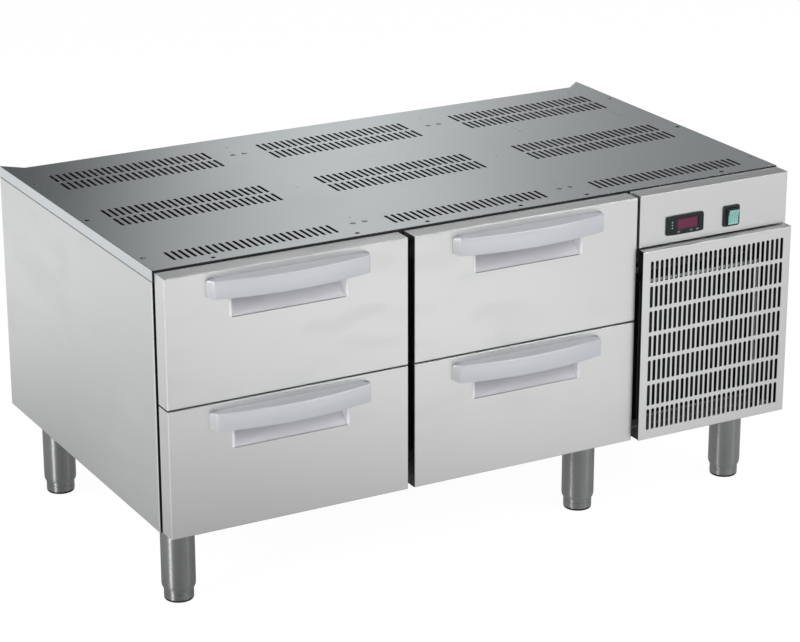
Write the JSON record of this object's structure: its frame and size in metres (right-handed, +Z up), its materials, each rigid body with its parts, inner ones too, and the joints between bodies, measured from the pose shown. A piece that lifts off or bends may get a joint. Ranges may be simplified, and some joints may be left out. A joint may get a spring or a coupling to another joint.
{
  "type": "refrigerated chef base",
  "caption": "Low refrigerated stand for cooking appliances, with drawers on telescopic slides, a slotted steel top and its condensing unit behind a slotted panel.",
  "frame": {"origin": "on the floor, under the middle of the whole outline", "axes": "+Z up, the drawers face -Y, +X to the right of someone who faces them"},
  "size_m": [1.2, 0.7326, 0.6],
  "materials": {
    "steel": "satin stainless sheet",
    "plate_steel": "satin stainless sheet, 2 mm",
    "liner": "stainless lining over foam",
    "zinc": "zinc-plated steel",
    "polished": "polished stainless tube",
    "handle": "silver-grey moulded plastic, fine grain",
    "gasket": "black magnetic gasket",
    "black_plastic": "black moulded plastic",
    "key": "dark grey keys",
    "rocker": "translucent green plastic",
    "enamel": "black enamel",
    "fins": "aluminium fins and frame",
    "fan": "black moulded fan"
  },
  "bodies": {
    "root": {"top_plate": "plate_steel", "left_side_panel": "steel", "right_side_panel": "steel", "rear_panel": "steel", "bottom_and_legs": "steel", "control_panel": "steel", "grille_panel": "steel", "cold_box_left_wall": "liner", "cold_box_right_wall": "liner", "cold_box_back_wall": "liner", "cold_box_floor": "liner", "cold_box_ceiling": "liner", "front_frame": "liner", "centre_partition": "liner", "evaporator_housing": "liner", "controller_case": "black_plastic", "switch_frame": "black_plastic", "cable_gland": "black_plastic", "unit_tray": "zinc", "fan_shroud": "zinc", "condenser_coil": "fins", "evaporator_core": "fins", "compressor": "enamel", "fan_motor": "enamel"},
    "left_lower_drawer": {"left_lower_drawer_front": "steel", "left_lower_gasket": "gasket", "left_lower_handle": "handle", "left_lower_drawer_box": "liner"},
    "left_lower_slide_members": {"left_lower_slide_left": "zinc", "left_lower_slide_right": "zinc"},
    "left_upper_drawer": {"left_upper_drawer_front": "steel", "left_upper_gasket": "gasket", "left_upper_handle": "handle", "left_upper_drawer_box": "liner"},
    "left_upper_slide_members": {"left_upper_slide_left": "zinc", "left_upper_slide_right": "zinc"},
    "right_lower_drawer": {"right_lower_drawer_front": "steel", "right_lower_gasket": "gasket", "right_lower_handle": "handle", "right_lower_drawer_box": "liner"},
    "right_lower_slide_members": {"right_lower_slide_left": "zinc", "right_lower_slide_right": "zinc"},
    "right_upper_drawer": {"right_upper_drawer_front": "steel", "right_upper_gasket": "gasket", "right_upper_handle": "handle", "right_upper_drawer_box": "liner"},
    "right_upper_slide_members": {"right_upper_slide_left": "zinc", "right_upper_slide_right": "zinc"},
    "foot_front_left": {"foot_front_left": "polished"},
    "foot_front_middle": {"foot_front_middle": "polished"},
    "foot_front_right": {"foot_front_right": "polished"},
    "foot_rear_left": {"foot_rear_left": "polished"},
    "foot_rear_middle": {"foot_rear_middle": "polished"},
    "foot_rear_right": {"foot_rear_right": "polished"},
    "power_rocker": {"power_rocker": "rocker"},
    "controller_key_1": {"controller_key_1": "key"},
    "controller_key_2": {"controller_key_2": "key"},
    "controller_key_3": {"controller_key_3": "key"},
    "condenser_fan": {"condenser_fan": "fan"},
    "evaporator_fan": {"evaporator_fan": "fan"}
  },
  "joints": [
    {"name": "left_lower_drawer_slide", "type": "slide", "parent": "root", "child": "left_lower_drawer", "axis": [0, -1, 0], "range_m": [0, 0.5]},
    {"name": "left_lower_member_slide", "type": "slide", "parent": "root", "child": "left_lower_slide_members", "axis": [0, -1, 0], "range_m": [0, 0.25]},
    {"name": "left_upper_drawer_slide", "type": "slide", "parent": "root", "child": "left_upper_drawer", "axis": [0, -1, 0], "range_m": [0, 0.5]},
    {"name": "left_upper_member_slide", "type": "slide", "parent": "root", "child": "left_upper_slide_members", "axis": [0, -1, 0], "range_m": [0, 0.25]},
    {"name": "right_lower_drawer_slide", "type": "slide", "parent": "root", "child": "right_lower_drawer", "axis": [0, -1, 0], "range_m": [0, 0.5]},
    {"name": "right_lower_member_slide", "type": "slide", "parent": "root", "child": "right_lower_slide_members", "axis": [0, -1, 0], "range_m": [0, 0.25]},
    {"name": "right_upper_drawer_slide", "type": "slide", "parent": "root", "child": "right_upper_drawer", "axis": [0, -1, 0], "range_m": [0, 0.5]},
    {"name": "right_upper_member_slide", "type": "slide", "parent": "root", "child": "right_upper_slide_members", "axis": [0, -1, 0], "range_m": [0, 0.25]},
    {"name": "foot_front_left_height", "type": "slide", "parent": "root", "child": "foot_front_left", "axis": [0, 0, -1], "range_m": [-0.01, 0.03]},
    {"name": "foot_front_middle_height", "type": "slide", "parent": "root", "child": "foot_front_middle", "axis": [0, 0, -1], "range_m": [-0.01, 0.03]},
    {"name": "foot_front_right_height", "type": "slide", "parent": "root", "child": "foot_front_right", "axis": [0, 0, -1], "range_m": [-0.01, 0.03]},
    {"name": "foot_rear_left_height", "type": "slide", "parent": "root", "child": "foot_rear_left", "axis": [0, 0, -1], "range_m": [-0.01, 0.03]},
    {"name": "foot_rear_middle_height", "type": "slide", "parent": "root", "child": "foot_rear_middle", "axis": [0, 0, -1], "range_m": [-0.01, 0.03]},
    {"name": "foot_rear_right_height", "type": "slide", "parent": "root", "child": "foot_rear_right", "axis": [0, 0, -1], "range_m": [-0.01, 0.03]},
    {"name": "power_rocker_hinge", "type": "hinge", "parent": "root", "child": "power_rocker", "pos_m": [0.4813, -0.32905, 0.5346], "axis": [-1, 0, 0], "range_deg": [0, 14]},
    {"name": "controller_key_1_press", "type": "slide", "parent": "root", "child": "controller_key_1", "axis": [0, 1, 0], "range_m": [0, 0.0006], "stiffness_N_per_m": 1500},
    {"name": "controller_key_2_press", "type": "slide", "parent": "root", "child": "controller_key_2", "axis": [0, 1, 0], "range_m": [0, 0.0006], "stiffness_N_per_m": 1500},
    {"name": "controller_key_3_press", "type": "slide", "parent": "root", "child": "controller_key_3", "axis": [0, 1, 0], "range_m": [0, 0.0006], "stiffness_N_per_m": 1500},
    {"name": "condenser_fan_spin", "type": "hinge", "parent": "root", "child": "condenser_fan", "pos_m": [0.4555, -0.21435, 0.298], "axis": [0, 1, 0], "continuous": true},
    {"name": "evaporator_fan_spin", "type": "hinge", "parent": "root", "child": "evaporator_fan", "pos_m": [0.264, 0.22935, 0.484], "axis": [1, 0, 0], "continuous": true}
  ],
  "couplings": [
    {"joint": "left_lower_member_slide", "follows": "left_lower_drawer_slide", "ratio": 0.5},
    {"joint": "left_upper_member_slide", "follows": "left_upper_drawer_slide", "ratio": 0.5},
    {"joint": "right_lower_member_slide", "follows": "right_lower_drawer_slide", "ratio": 0.5},
    {"joint": "right_upper_member_slide", "follows": "right_upper_drawer_slide", "ratio": 0.5}
  ]
}
